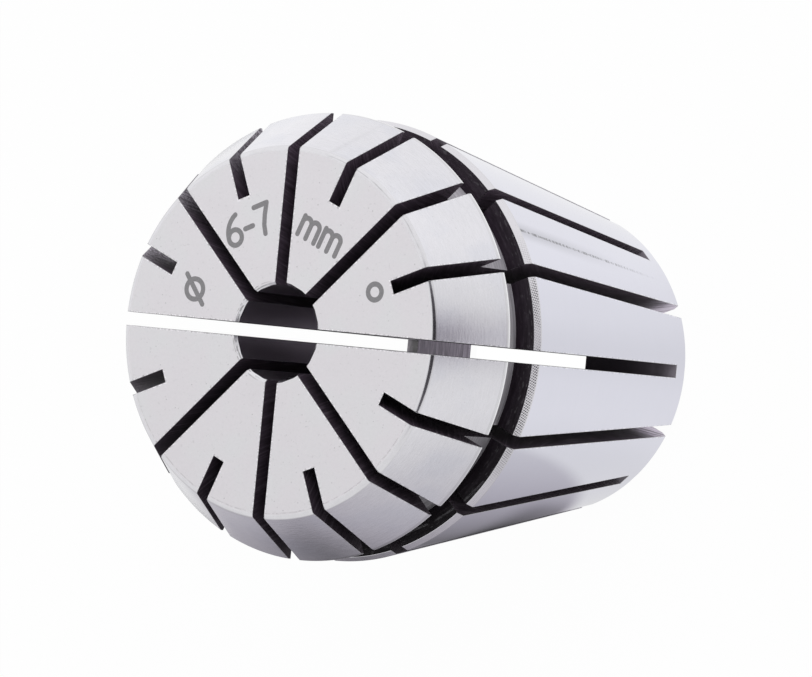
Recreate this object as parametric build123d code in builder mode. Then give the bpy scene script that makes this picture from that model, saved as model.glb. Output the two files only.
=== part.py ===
from build123d import *
import math
import os

os.makedirs("parts", exist_ok=True)

# A spring collet that holds a straight shank in a tool holder. It is turned, ground and
# sawn from one bar of spring steel, so it is one solid. It stands on its small rear end:
# +Z runs along the axis to the clamping face, and the origin is the middle of the rear end.

# Lengths along the axis
overall_length = 40.0
rim_land = 0.3  # short straight land between the head cone and the groove
groove_width = 3.8
groove_lip = 0.6  # bevelled edge where the groove ends and the seat taper starts
bore_clearance = 0.8  # the bore starts this far above the line where the front cuts reach it

# Diameters
body_diameter = 33.0  # the rim of the head, and the large end of the seat taper
face_diameter = 27.0
groove_diameter = 29.4
bore_diameter = 7.0
relief_diameter = 15.6  # wide hole behind the bore, open at the rear end

# Angles, each measured from the axis
head_angle = 30.0  # cone that the clamping nut presses on
seat_angle = 8.0  # taper that sits in the tool holder
lip_angle = 25.0
relief_angle = 59.0  # cone that a drill leaves between the relief and the bore

# Broken edges
bore_edge = 0.2
rear_edge = 0.6
relief_edge = 0.3

# Saw cuts: half start at the clamping face and half at the rear end, in turn
cuts_each_way = 8
slot_width = 1.0
saw_diameter = 80.0
saw_reach = 1.3  # nearest that the saw's rim comes to the axis
front_cut_stop = 2.4  # height of a front cut's end, measured on the seat taper
rear_cut_exit = 10.4  # distance from the axis where a rear cut's end shows on the face
run_out = 1.0  # how far the saw passes beyond the metal

# Sizes that follow from the ones above
body_radius = body_diameter / 2
face_radius = face_diameter / 2
groove_radius = groove_diameter / 2
bore_radius = bore_diameter / 2
relief_radius = relief_diameter / 2
saw_radius = saw_diameter / 2

head_height = (body_radius - face_radius) / math.tan(math.radians(head_angle))
cone_base = overall_length - head_height
groove_top = cone_base - rim_land
groove_floor = groove_top - groove_width
lip_drop = groove_lip * math.tan(math.radians(lip_angle))
seat_top = groove_floor - groove_lip
seat_slope = math.tan(math.radians(seat_angle))
rear_radius = body_radius - seat_top * seat_slope
front_cut_radius = rear_radius + front_cut_stop * seat_slope

# The saw's centre stands off the axis by its own radius and its reach
saw_offset = saw_radius + saw_reach
front_saw_height = front_cut_stop + math.sqrt(saw_radius**2 - (saw_offset - front_cut_radius) ** 2)
rear_saw_height = overall_length - math.sqrt(saw_radius**2 - (saw_offset - rear_cut_exit) ** 2)
half_step = 360 / cuts_each_way / 2

# The front cuts pass through the whole bore, so that nothing ties its eight segments together
front_cut_at_bore = front_saw_height - math.sqrt(saw_radius**2 - (saw_offset - bore_radius) ** 2)
bore_start = front_cut_at_bore + bore_clearance
relief_top = bore_start - (relief_radius - bore_radius) / math.tan(math.radians(relief_angle))


def saw_cut(saw_height, exit_height):
    """The slot that one saw leaves in the XZ plane: its round rim, and a straight way out to one end."""
    with BuildPart() as cut:
        with BuildSketch(Plane.XZ):
            with Locations((saw_offset, saw_height)):
                Circle(saw_radius)
            with Locations((saw_offset, (saw_height + exit_height) / 2)):
                Rectangle(2 * saw_radius, abs(exit_height - saw_height))
        extrude(amount=slot_width / 2, both=True)
    return cut.part


front_cut = saw_cut(front_saw_height, overall_length + run_out)
rear_cut = saw_cut(rear_saw_height, -run_out)

with BuildPart() as collet:
    # The turned blank: seat taper, groove and head outside, relief and bore inside
    with BuildSketch(Plane.XZ):
        with BuildLine():
            Polyline(
                (relief_radius, 0),
                (rear_radius, 0),
                (body_radius, seat_top),
                (body_radius - lip_drop, groove_floor),
                (groove_radius, groove_floor),
                (groove_radius, groove_top),
                (body_radius, groove_top),
                (body_radius, cone_base),
                (face_radius, overall_length),
                (bore_radius, overall_length),
                (bore_radius, bore_start),
                (relief_radius, relief_top),
                close=True,
            )
        make_face()
    revolve(axis=Axis.Z)

    rear_rings = collet.edges().filter_by(GeomType.CIRCLE).group_by(Axis.Z)[0].sort_by(SortBy.RADIUS)
    face_rings = collet.edges().filter_by(GeomType.CIRCLE).group_by(Axis.Z)[-1].sort_by(SortBy.RADIUS)
    chamfer(face_rings[0], length=bore_edge)
    chamfer(rear_rings[-1], length=rear_edge)
    chamfer(rear_rings[0], length=relief_edge)

    # The cuts alternate round the axis, which lets the collet close evenly from both ends
    with PolarLocations(0, cuts_each_way):
        add(front_cut, mode=Mode.SUBTRACT)
    with PolarLocations(0, cuts_each_way, start_angle=half_step):
        add(rear_cut, mode=Mode.SUBTRACT)

collet.part.label = "collet"
export_step(collet.part, "parts/collet.step")
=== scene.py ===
"""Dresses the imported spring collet: ground steel, black saw cuts and a pale studio floor.

The collet stands on its small rear end, +Z along its axis towards the clamping face, in metres.
"""
import logging
import math
from collections.abc import Callable
from dataclasses import dataclass, field
from enum import Enum, IntEnum
from typing import Any

import bpy
import numpy as np
from mathutils import Matrix, Vector
from mathutils.geometry import delaunay_2d_cdt


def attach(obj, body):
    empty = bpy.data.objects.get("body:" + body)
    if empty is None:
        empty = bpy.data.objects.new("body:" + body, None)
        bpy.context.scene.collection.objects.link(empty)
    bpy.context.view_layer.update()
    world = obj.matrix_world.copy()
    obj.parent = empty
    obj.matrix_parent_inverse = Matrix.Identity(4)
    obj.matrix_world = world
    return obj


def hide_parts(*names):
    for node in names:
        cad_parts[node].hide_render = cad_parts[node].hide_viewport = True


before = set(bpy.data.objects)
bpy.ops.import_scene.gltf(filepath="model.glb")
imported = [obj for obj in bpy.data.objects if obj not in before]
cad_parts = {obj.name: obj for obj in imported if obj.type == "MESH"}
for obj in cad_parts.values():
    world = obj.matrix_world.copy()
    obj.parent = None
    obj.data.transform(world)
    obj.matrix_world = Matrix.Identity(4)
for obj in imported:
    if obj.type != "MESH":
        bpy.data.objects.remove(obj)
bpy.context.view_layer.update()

MM = 0.001

Colour = tuple[float, float, float, float]

log = logging.getLogger("collet")


# ---------------------------------------------------------------------------------------
# Shader maths
# ---------------------------------------------------------------------------------------


def math_method(operation: str, reflected: bool = False) -> Callable[["Link", Any], "Link"]:
    """A method of Link that adds one Math node.

    Args:
        operation: The node's operation.
        reflected: Whether the link is the second of its two terms.

    Returns:
        The method.
    """

    def method(link: "Link", other: Any) -> "Link":
        """The operation on the link and another number or link."""
        terms = (other, link) if reflected else (link, other)
        return link.math(operation, *terms)

    return method


class Link:
    """An output socket that can be written into an expression, as a number or as a vector."""

    __add__ = math_method("ADD")
    __radd__ = math_method("ADD", reflected=True)
    __sub__ = math_method("SUBTRACT")
    __rsub__ = math_method("SUBTRACT", reflected=True)
    __mul__ = math_method("MULTIPLY")
    __rmul__ = math_method("MULTIPLY", reflected=True)
    __truediv__ = math_method("DIVIDE")
    __rtruediv__ = math_method("DIVIDE", reflected=True)
    __pow__ = math_method("POWER")
    __rpow__ = math_method("POWER", reflected=True)
    larger = math_method("MAXIMUM")
    smaller = math_method("MINIMUM")
    angle_from = math_method("ARCTAN2")  # the angle of the point (other, link), in radians

    def __init__(self, tree: "ShaderTree", socket: bpy.types.NodeSocket) -> None:
        """Keeps the socket and the tree that it belongs to.

        Args:
            tree: The tree that new nodes go into.
            socket: The output socket.
        """
        self.tree = tree
        self.socket = socket

    def math(self, operation: str, *terms: Any) -> "Link":
        """Adds one Math node and returns its result."""
        return self.tree.add("ShaderNodeMath", {"operation": operation}, dict(enumerate(terms)))

    def __abs__(self) -> "Link":
        """abs(self)."""
        return self.math("ABSOLUTE", self)

    def sine(self) -> "Link":
        """The sine of an angle in radians."""
        return self.math("SINE", self)

    def rounded(self) -> "Link":
        """The nearest whole number."""
        return self.math("ROUND", self)

    def ramp(self, low: float, high: float) -> "Link":
        """Rises smoothly from 0 to 1 between two values, or falls where low is above high.

        Args:
            low: The value that gives 0.
            high: The value that gives 1.

        Returns:
            The eased share, kept between 0 and 1.
        """
        if low > high:
            return 1 - self.ramp(high, low)
        sockets = {"Value": self, "From Min": low, "From Max": high}
        return self.tree.add("ShaderNodeMapRange", {"interpolation_type": "SMOOTHSTEP"}, sockets)


class ShaderTree:
    """Adds nodes to the tree of one material or world."""

    def __init__(self, owner: bpy.types.Material | bpy.types.World) -> None:
        """Starts the owner's node tree again from nothing.

        Args:
            owner: The material or world to dress.
        """
        owner.use_nodes = True
        self.nodes = owner.node_tree.nodes
        self.links = owner.node_tree.links
        self.nodes.clear()

    def add(
        self,
        kind: str,
        settings: dict[str, Any] | None = None,
        sockets: dict[str | int, Any] | None = None,
        output: str | int = 0,
    ) -> Link | None:
        """Adds a node, with its settings first and then its sockets.

        Args:
            kind: The node's type.
            settings: Its properties.
            sockets: The values or links of its inputs, by name or place.
            output: Which output to return.

        Returns:
            The chosen output, or None for a node without outputs.
        """
        node = self.nodes.new(kind)
        for name, value in (settings or {}).items():
            setattr(node, name, value)
        for key, value in (sockets or {}).items():
            if isinstance(value, Link):
                self.links.new(value.socket, node.inputs[key])
            else:
                node.inputs[key].default_value = value
        return Link(self, node.outputs[output]) if len(node.outputs) else None

    def vector(self, x: Any, y: Any, z: Any) -> Link:
        """A vector from three numbers or links."""
        return self.add("ShaderNodeCombineXYZ", None, {"X": x, "Y": y, "Z": z})

    def parts(self, vector: Link) -> tuple[Link, Link, Link]:
        """The three numbers of a vector or colour."""
        x, y, z = (self.add("ShaderNodeSeparateXYZ", None, {0: vector}, axis) for axis in "XYZ")
        return x, y, z

    def scaled(self, vector: Any, factor: Any) -> Link:
        """A vector or colour times a number."""
        vector = vector[:3] if isinstance(vector, tuple) else vector
        return self.add("ShaderNodeVectorMath", {"operation": "SCALE"}, {0: vector, "Scale": factor})

    def mix(self, share: Any, first: Any, second: Any) -> Link:
        """A colour between two colours.

        Args:
            share: 0 for the first and 1 for the second.
            first: The first colour.
            second: The second colour.

        Returns:
            The mixed colour.
        """
        settings = {"data_type": "RGBA", "clamp_factor": True}
        return self.add("ShaderNodeMix", settings, {0: share, 6: first, 7: second}, output=2)

    def noise(self, place: Link, detail: float = 2.0, roughness: float = 0.5) -> Link:
        """Soft noise of about 0 to 1 round 0.5, one feature for each unit of place.

        Args:
            place: Where to read the noise.
            detail: How many finer layers it has.
            roughness: How strong the finer layers are.

        Returns:
            The noise value.
        """
        sockets = {"Vector": place, "Scale": 1.0, "Detail": detail, "Roughness": roughness}
        return self.add("ShaderNodeTexNoise", None, sockets)

    def finish(self, shader: Link, output: str = "ShaderNodeOutputMaterial") -> None:
        """Connects a shader to the output node."""
        self.add(output, None, {"Surface": shader})


def grey(value: float, red: float = 0.0, blue: float = 0.0) -> Colour:
    """A grey with a slight tint.

    Args:
        value: Its brightness.
        red: How much more red than green it has, as a share.
        blue: How much more blue than green it has.

    Returns:
        The colour.
    """
    return (value * (1 + red), value, value * (1 + blue), 1.0)


def heading(azimuth: float, elevation: float) -> Vector:
    """A direction, from its angle round Z and above the floor, in degrees."""
    turn, rise = math.radians(azimuth), math.radians(elevation)
    return Vector((math.cos(turn) * math.cos(rise), math.sin(turn) * math.cos(rise), math.sin(rise)))


@dataclass(frozen=True)
class Fade:
    """A soft step in a value, up to its full amount."""

    start: float
    end: float
    amount: float = 1.0

    def of(self, value: Link) -> Link:
        """The step at a value."""
        step = value.ramp(self.start, self.end)
        return step if self.amount == 1.0 else self.amount * step


@dataclass(frozen=True)
class Rise:
    """A number that grows evenly with a value."""

    start: float  # where the value is 0
    gain: float  # how much it has grown where the value is 1

    def of(self, value: Link) -> Link:
        """The number at a value."""
        return self.start + self.gain * value


# ---------------------------------------------------------------------------------------
# Sizes of the collet
# ---------------------------------------------------------------------------------------


class Surface(IntEnum):
    """The collet's surfaces, in order round its section from the clamping face."""

    FACE = 0
    CONE = 1
    RIM = 2
    HEAD_BACK = 3
    GROOVE = 4
    GROOVE_WALL = 5
    LIP = 6
    TAPER = 7
    REAR_EDGE = 8
    REAR_END = 9
    RELIEF_EDGE = 10
    RELIEF = 11
    DRILL_CONE = 12
    BORE = 13
    MOUTH = 14
    SAW_WALL = 15
    SAW_FLOOR = 16
    BROKEN_EDGE = 17


@dataclass(frozen=True)
class ColletSizes:
    """The driving sizes of the collet, in metres and degrees, and what follows from them."""

    overall_length: float = 40.0 * MM
    rim_land: float = 0.3 * MM
    groove_width: float = 3.8 * MM
    groove_lip: float = 0.6 * MM
    bore_clearance: float = 0.8 * MM
    body_diameter: float = 33.0 * MM
    face_diameter: float = 27.0 * MM
    groove_diameter: float = 29.4 * MM
    bore_diameter: float = 7.0 * MM
    relief_diameter: float = 15.6 * MM
    head_angle: float = 30.0
    seat_angle: float = 8.0
    lip_angle: float = 25.0
    relief_angle: float = 59.0
    bore_edge: float = 0.2 * MM
    rear_edge: float = 0.6 * MM
    relief_edge: float = 0.3 * MM
    cuts_each_way: int = 8
    slot_width: float = 1.0 * MM
    saw_diameter: float = 80.0 * MM
    saw_reach: float = 1.3 * MM
    front_cut_stop: float = 2.4 * MM
    rear_cut_exit: float = 10.4 * MM
    cone_crown: float = 4.6  # how far the cone's slope turns from its middle to either end, in degrees
    face_round: float = 0.28 * MM  # how far the corner of face and cone is rounded
    rim_round: float = 0.13 * MM  # the same at the rim
    ground_break: float = 0.06 * MM  # how far the other turned corners are broken
    sawn_break: float = 0.022 * MM  # how far the edges of the saw cuts are broken

    @property
    def body_radius(self) -> float:
        """The radius of the rim and of the large end of the seat taper."""
        return self.body_diameter / 2

    @property
    def groove_top(self) -> float:
        """The height of the head's back."""
        head = (self.body_diameter - self.face_diameter) / 2 / math.tan(math.radians(self.head_angle))
        return self.overall_length - head - self.rim_land

    @property
    def seat_top(self) -> float:
        """The height where the seat taper starts."""
        return self.groove_top - self.groove_width - self.groove_lip

    @property
    def seat_slope(self) -> float:
        """How much the seat taper's radius grows with height."""
        return math.tan(math.radians(self.seat_angle))

    @property
    def rear_radius(self) -> float:
        """The radius that the seat taper would have at the rear end."""
        return self.body_radius - self.seat_top * self.seat_slope

    @property
    def saw_offset(self) -> float:
        """How far the saw's centre stands from the axis."""
        return self.saw_diameter / 2 + self.saw_reach

    def saw_rise(self, radius: float) -> float:
        """How far above or below the saw's centre its rim crosses a radius."""
        return math.sqrt((self.saw_diameter / 2) ** 2 - (self.saw_offset - radius) ** 2)

    @property
    def front_saw_height(self) -> float:
        """The height of the saw's centre in the cuts that start at the face."""
        stop_radius = self.rear_radius + self.front_cut_stop * self.seat_slope
        return self.front_cut_stop + self.saw_rise(stop_radius)

    @property
    def rear_saw_height(self) -> float:
        """The height of the saw's centre in the cuts that start at the rear end."""
        return self.overall_length - self.saw_rise(self.rear_cut_exit)

    def saw_height(self, slot: int) -> float:
        """The height of the saw's centre in a cut, counted from the cut on +X."""
        return self.rear_saw_height if slot % 2 else self.front_saw_height

    @property
    def bore_start(self) -> float:
        """The height where the bore begins, above the relief."""
        return self.front_saw_height - self.saw_rise(self.bore_diameter / 2) + self.bore_clearance

    @property
    def slot_pitch(self) -> float:
        """The angle from one saw cut to the next, in radians."""
        return math.pi / self.cuts_each_way


@dataclass(frozen=True)
class Corner:
    """A point of the turned section and the surface that follows it."""

    radius: float
    height: float
    surface: Surface
    edge_break: float = 0.0
    stops: str = ""  # the saw cut that stops here, if one does


# ---------------------------------------------------------------------------------------
# Finishes
# ---------------------------------------------------------------------------------------


class Grain(Enum):
    """Which way the marks of a finish run."""

    ROUND = "round the axis"
    LAPPED = "every way"
    SAWN = "along the sweep of the saw"


def fine_line(aside: Link, half_width: float, outer: float = 1.5, inner: float = 0.4) -> Link:
    """A soft-edged line.

    Args:
        aside: The distance from its middle.
        half_width: Half its width.
        outer: Where it starts, as a share of that.
        inner: Where it is whole.

    Returns:
        The share, which is 1 on the line.
    """
    return aside.ramp(half_width * outer, half_width * inner)


class SurfacePlace:
    """Where a point of the collet is, in millimetres, for the maths of its finishes."""

    TRUE_RADIUS = 15.0  # where marks round the axis have the length that is asked for
    UP_WEIGHT = 1.2  # how much height counts across those marks
    OUT_WEIGHT = 0.7  # how much radius counts
    CUT_SHIFT = 7.3  # from the grain of one saw cut to that of the next
    WORN_SIDE = Fade(0.98, 0.998)  # how near a worn cut is, as a cosine
    WORN_HEIGHT = Fade(30.4, 25.0)  # how its wear grows down the seat taper

    def __init__(self, tree: ShaderTree, sizes: ColletSizes) -> None:
        """Adds the nodes that work out the place.

        Args:
            tree: The material's tree.
            sizes: The collet's sizes.
        """
        self.tree = tree
        self.sizes = sizes
        self.point = tree.scaled(tree.add("ShaderNodeTexCoord", output="Object"), 1 / MM)
        self.x, self.y, self.z = tree.parts(self.point)
        self.radius = (self.x * self.x + self.y * self.y) ** 0.5
        self.angle = self.y.angle_from(self.x)
        turns = self.angle / sizes.slot_pitch
        self.slot = turns.rounded()
        self.rear_cut = (self.slot * (math.pi / 2)).sine() ** 2  # 1 for a cut that is open at the rear
        from_slot = (turns - self.slot) * sizes.slot_pitch
        rise = (sizes.rear_saw_height - sizes.front_saw_height) / MM
        out = sizes.saw_offset / MM - self.radius
        up = self.z - sizes.front_saw_height / MM - self.rear_cut * rise
        self.sweep = (out * out + up * up) ** 0.5  # from the saw's centre
        aside = abs(self.radius * from_slot.sine()) - sizes.slot_width / 2 / MM
        self.slot_gap = aside.larger(self.sweep - sizes.saw_diameter / 2 / MM)
        self.seat_depth = self.z * sizes.seat_slope + sizes.rear_radius / MM - self.radius

    def towards(self, angle: float) -> Link:
        """The cosine of how far a point lies round the axis from an angle in degrees."""
        side = heading(angle, 0)
        return (self.x * side.x + self.y * side.y) / self.radius

    def worn_cut(self, angle: float | None) -> Link | float:
        """How near a point is to the saw cut whose edge is worn along the seat taper.

        Args:
            angle: The cut's angle round the axis, in degrees, if there is one.

        Returns:
            The share, which is 1 beside the cut.
        """
        if angle is None:
            return 0.0
        return self.WORN_SIDE.of(self.towards(angle)) * self.WORN_HEIGHT.of(self.z)

    def grain(self, way: Grain, along: float, across: float) -> Link:
        """Coordinates that stretch a noise along the marks of a finish.

        Args:
            way: Which way the marks run.
            along: Features for each millimetre along the marks.
            across: Features for each millimetre across them.

        Returns:
            The stretched coordinates.
        """
        if way is Grain.LAPPED:
            return self.tree.vector(self.x * along, self.y * across, self.z * across)
        if way is Grain.SAWN:
            return self.tree.vector(self.sweep * across, self.z * along, self.slot * self.CUT_SHIFT)
        turn = self.TRUE_RADIUS * along
        beside = (self.z * self.UP_WEIGHT - self.radius * self.OUT_WEIGHT) * across
        return self.tree.vector(self.x / self.radius * turn, self.y / self.radius * turn, beside)

    def patches(self, density: float, detail: float = 2.0, roughness: float = 0.5) -> Link:
        """Noise that runs no way in particular.

        Args:
            density: Features for each millimetre.
            detail: How many finer layers it has.
            roughness: How strong the finer layers are.

        Returns:
            The noise value.
        """
        return self.tree.noise(self.grain(Grain.LAPPED, density, density), detail, roughness)


@dataclass(frozen=True)
class DarkStreak:
    """A fine broken dark line along one finger, in a soft dark band that fades towards the rear end."""

    angle: float  # round the axis, in degrees
    lean: float = 0.0  # how far it leans aside with each millimetre that it falls
    line: float = 0.11  # half its width, in millimetres
    line_depth: float = 0.6  # how much it darkens the steel
    breaks: float = 3.1  # gaps for each millimetre
    ragged: float = 4.0  # how quickly those gaps change across it
    unbroken: Fade = Fade(0.36, 0.6)
    dark_band: float = 1.0  # half the dark band's width
    dark_band_depth: float = 0.24
    top: float = 28.0  # where it is strongest
    foot: float = 7.0  # where it has faded
    line_foot: Fade = Fade(2.0, 15.0)  # how its line fades towards the rear end
    far_side: Fade = Fade(0.0, -1.0)  # keeps it off the other side of the axis

    def shade(self, place: SurfacePlace) -> Link:
        """How much the streak darkens the steel.

        Args:
            place: The place on the surface.

        Returns:
            The share of the tone that it takes away.
        """
        off = place.angle - math.radians(self.angle)
        aside = abs(off.sine() * place.radius + self.lean * (place.z - self.top))
        aside = aside + self.far_side.of(place.x) * self.dark_band
        whole = place.tree.noise(place.tree.vector(0.0, aside * self.ragged, place.z * self.breaks))
        line = fine_line(aside, self.line, outer=1.6, inner=0.3) * self.unbroken.of(whole) * self.line_depth
        dark_band = aside.ramp(self.dark_band, 0.0) * place.z.ramp(self.foot, self.top) * self.dark_band_depth
        return line * self.line_foot.of(place.z) + dark_band


@dataclass(frozen=True)
class Chatter:
    """Rows of small tool marks round a narrow turned face."""

    pitch: float = 0.22  # from mark to mark, in millimetres
    row_lean: float = 0.42  # how far the rows lean with height
    column_rise: float = 0.85  # how many columns there are for each row
    column_lean: float = 0.18  # how far the columns lean round the axis
    mark: Fade = Fade(-0.05, 0.35)
    depth: float = 0.95  # how much a mark darkens the steel
    least: float = 0.25  # the share of that where the marks are faintest
    patches: Fade = Fade(0.3, 0.6)
    patch_grain: tuple[float, float] = (0.35, 0.8)  # patches for each millimetre, along and across
    worst_side: float = -2.0  # where the marks are deepest, in degrees
    worn: Fade = Fade(0.8, 0.97)  # how far they reach round from there, as a cosine

    def shade(self, place: SurfacePlace) -> Link:
        """How much the marks darken the steel.

        Args:
            place: The place on the surface.

        Returns:
            The share of the tone that they take away.
        """
        turns = 2 * math.pi / self.pitch
        round_way = place.angle * (place.sizes.body_radius / MM * turns)
        rows = (round_way + place.z * (self.row_lean * turns)).sine()
        columns = (place.z * (self.column_rise * turns) - round_way * self.column_lean).sine()
        patches = self.patches.of(place.tree.noise(place.grain(Grain.ROUND, *self.patch_grain)))
        strength = self.least + (1 - self.least) * patches
        marks = self.mark.of(rows * columns) * strength * self.depth
        return marks * self.worn.of(place.towards(self.worst_side))


@dataclass(frozen=True)
class Ring:
    """A fine broken line round the axis, on one side."""

    radius: float  # in millimetres
    width: float  # half its width, in millimetres
    depth: float  # how much it changes the steel
    side: float  # the middle of its length, in degrees
    reach: float = 70.0  # how far it runs to either way of that side, in degrees
    ends: tuple[float, float] = (1.2, 0.75)  # where it has faded and where it is whole, as shares of that
    lean: float = 0.0  # how much its radius grows with each radian
    breaks: float = 2.4  # gaps for each millimetre
    wobble: float = 0.12  # how far it strays, in millimetres
    wobbles: float = 0.8  # how often, for each millimetre
    unbroken: Fade = Fade(0.38, 0.58)

    def shade(self, place: SurfacePlace) -> Link:
        """How much the line changes the steel.

        Args:
            place: The place on the surface.

        Returns:
            The share, which is 1 for a full change.
        """
        off = place.radius - self.radius + self.wobble * (place.patches(self.wobbles) - 0.5)
        if self.lean:
            off = off - self.lean * (place.angle - math.radians(self.side))
        line = fine_line(abs(off), self.width) * self.unbroken.of(place.patches(self.breaks)) * self.depth
        ends = [math.cos(math.radians(self.reach * share)) for share in self.ends]
        return line * place.towards(self.side).ramp(*ends)


@dataclass(frozen=True)
class Pits:
    """Small round pits and dents, thicker in some patches."""

    density: float = 2.3  # pits for each millimetre
    size: Fade = Fade(0.17, 0.06)  # of a pit, as a share of the room that it has
    chosen: Fade = Fade(0.3, 0.9)  # which of them are deep
    dents: Fade = Fade(0.6, 0.74, 0.35)
    dent_density: float = 3.2
    patches: Fade = Fade(0.35, 0.6, 0.75)
    patch_density: float = 0.5

    def shade(self, place: SurfacePlace) -> Link:
        """How deep the surface is pitted.

        Args:
            place: The place on the surface.

        Returns:
            The share, which is 1 in the deepest pits.
        """
        cells = {"Vector": place.point, "Scale": self.density, "Randomness": 1.0}
        spots = place.tree.add("ShaderNodeTexVoronoi", None, cells, "Distance")
        pick = place.tree.parts(place.tree.add("ShaderNodeTexVoronoi", None, cells, "Color"))[0]
        dents = self.dents.of(place.patches(self.dent_density, roughness=0.6))
        pits = self.size.of(spots) * self.chosen.of(pick) + dents
        return pits * (1 - self.patches.amount + self.patches.of(place.patches(self.patch_density)))


@dataclass(frozen=True)
class HeadCutLight:
    """Painted light in the saw cuts on one side of the head, broken into flecks."""

    side: float = 152.0  # round the axis, in degrees
    strength: float = 0.4
    least: float = 0.35  # the share of that between the flecks
    flecks: Fade = Fade(0.4, 0.62, 1.1)
    density: float = 4.5  # flecks for each millimetre
    outwards: Fade = Fade(11.4, 14.4)
    sidewards: Fade = Fade(8.0, 12.0)
    upwards: Fade = Fade(33.6, 34.4)

    def shade(self, place: SurfacePlace) -> Link:
        """How bright the painted light makes the cut.

        Args:
            place: The place on the surface.

        Returns:
            The share of the bright steel colour that it paints over the scale.
        """
        flecks = self.least + self.flecks.of(place.patches(self.density, roughness=0.6))
        reach = self.sidewards.of(place.towards(self.side) * place.radius)
        return self.outwards.of(place.radius) * self.upwards.of(place.z) * reach * flecks * self.strength


class Finish:
    """A finish of the collet, made as one material."""

    name: str

    def sockets(self, place: SurfacePlace) -> dict[str, Any]:
        """What the shader's sockets are given.

        Args:
            place: The place on the surface.

        Returns:
            Values and links by the names of the sockets.
        """
        raise NotImplementedError

    def material(self, sizes: ColletSizes) -> bpy.types.Material:
        """Makes the material.

        Args:
            sizes: The collet's sizes.

        Returns:
            The new material.
        """
        material = bpy.data.materials.new(self.name)
        tree = ShaderTree(material)
        sockets = self.sockets(SurfacePlace(tree, sizes))
        tree.finish(tree.add("ShaderNodeBsdfPrincipled", None, sockets))
        return material


@dataclass(frozen=True)
class SteelFinish(Finish):
    """Bright steel, ground, lapped or turned."""

    name: str
    tone: Colour
    grain: Grain = Grain.ROUND
    along: float = 0.25  # marks for each millimetre along their length
    across: float = 9.0  # marks for each millimetre across them
    finer: tuple[float, float] = (4.0, 2.2)  # how much closer the fine marks stand, along and across
    contrast: float = 0.08  # how much the marks change the tone
    cloud: float = 0.03  # how much wide soft patches change it
    cloud_density: float = 0.3  # those patches for each millimetre
    cloud_tone: Colour | None = None  # the tint of those patches
    cloud_edge: Fade = Fade(0.42, 0.7)
    pitted: float = 0.0  # how much small pits darken it
    roughness: float = 0.25
    rough_marks: Rise = Rise(0.65, 0.7)  # how the marks change it, as a share
    depth: float = 0.4e-6  # of the marks, in metres
    fine_depth: float = 0.5  # of the fine marks, as a share of that
    anisotropy: float = 0.0
    burrs: float = 0.1  # how much fine nicks beside a saw cut change it
    burr_density: float = 5.0  # nicks for each millimetre
    burr_edge: Fade = Fade(0.17, 0.03, 4.0)  # how far they reach from the cut, in millimetres
    cut_tone: float = 1.0  # how bright it is where it meets a saw cut
    cut_edge: Fade = Fade(0.06, 0.03)
    groove_tone: float = 1.0  # how bright it is inside the groove
    worn_cut: float | None = None  # the cut whose edges are worn matt, in degrees, if one is
    dark_streak: DarkStreak | None = None
    chatter: Chatter | None = None
    rings: tuple[Ring, ...] = ()
    painted_side_light: float = 0.0  # painted side light: how much lighter it grows with each millimetre along Y
    grazing: Colour = grey(1.0)  # its tint at a flat angle

    def sockets(self, place: SurfacePlace) -> dict[str, Any]:
        """What the shader's sockets are given.

        Args:
            place: The place on the surface.

        Returns:
            Values and links by the names of the sockets.
        """
        tree = place.tree
        marks = tree.noise(place.grain(self.grain, self.along, self.across), detail=3.0, roughness=0.6)
        along, across = self.along * self.finer[0], self.across * self.finer[1]
        fine = tree.noise(place.grain(self.grain, along, across), roughness=0.6)
        wide = place.patches(self.cloud_density)
        worn = place.worn_cut(self.worn_cut)
        shade = 1 + self.contrast * (2 * marks + fine - 1.5) + self.cloud * (2 * wide - 1)
        shade = shade - self._darkening(place) + self.painted_side_light * place.y
        nicks = place.patches(self.burr_density, roughness=0.7) - 0.5
        shade = shade + self.burrs * self.burr_edge.of(place.slot_gap) * nicks
        if self.cut_tone != 1.0:
            shade = shade * (1 - (1 - self.cut_tone) * self.cut_edge.of(place.slot_gap) * (1 - worn))
        if self.groove_tone != 1.0:
            shade = shade * (1 - (1 - self.groove_tone) * self._inside_groove(place))
        tone = self.tone
        if self.cloud_tone:
            tone = tree.mix(self.cloud_edge.of(wide), self.tone, self.cloud_tone)
        relief = {"Strength": 1.0, "Distance": self.depth, "Height": marks + fine * self.fine_depth}
        return {
            "Base Color": tree.scaled(tone, shade),
            "Roughness": self.roughness * self.rough_marks.of(marks),
            "Metallic": 1 - worn,
            "Anisotropic": self.anisotropy,
            "Specular Tint": self.grazing,
            "Normal": tree.add("ShaderNodeBump", None, relief),
        }

    @staticmethod
    def _inside_groove(place: SurfacePlace, soft: float = 0.1) -> Link:
        """How far a point is inside the groove.

        Args:
            place: The place on the surface.
            soft: How soft the groove's edges are, in millimetres.

        Returns:
            The share, which is 1 inside the groove.
        """
        top = place.sizes.groove_top / MM
        foot = top - place.sizes.groove_width / MM
        mouth = place.sizes.body_radius / MM - 3 * soft
        height = place.z.ramp(top + soft, top) * place.z.ramp(foot - soft, foot)
        return height * place.radius.ramp(mouth, mouth - soft)

    def _darkening(self, place: SurfacePlace) -> Link | float:
        """How much pits, a dark streak, chatter and rings darken the steel, where it has them.

        Args:
            place: The place on the surface.

        Returns:
            The share of the tone that they take away.
        """
        taken: Link | float = self.pitted * Pits().shade(place) if self.pitted else 0.0
        for dark_mark in (self.dark_streak, self.chatter, *self.rings):
            if dark_mark:
                taken = taken + dark_mark.shade(place)
        return taken


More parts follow.
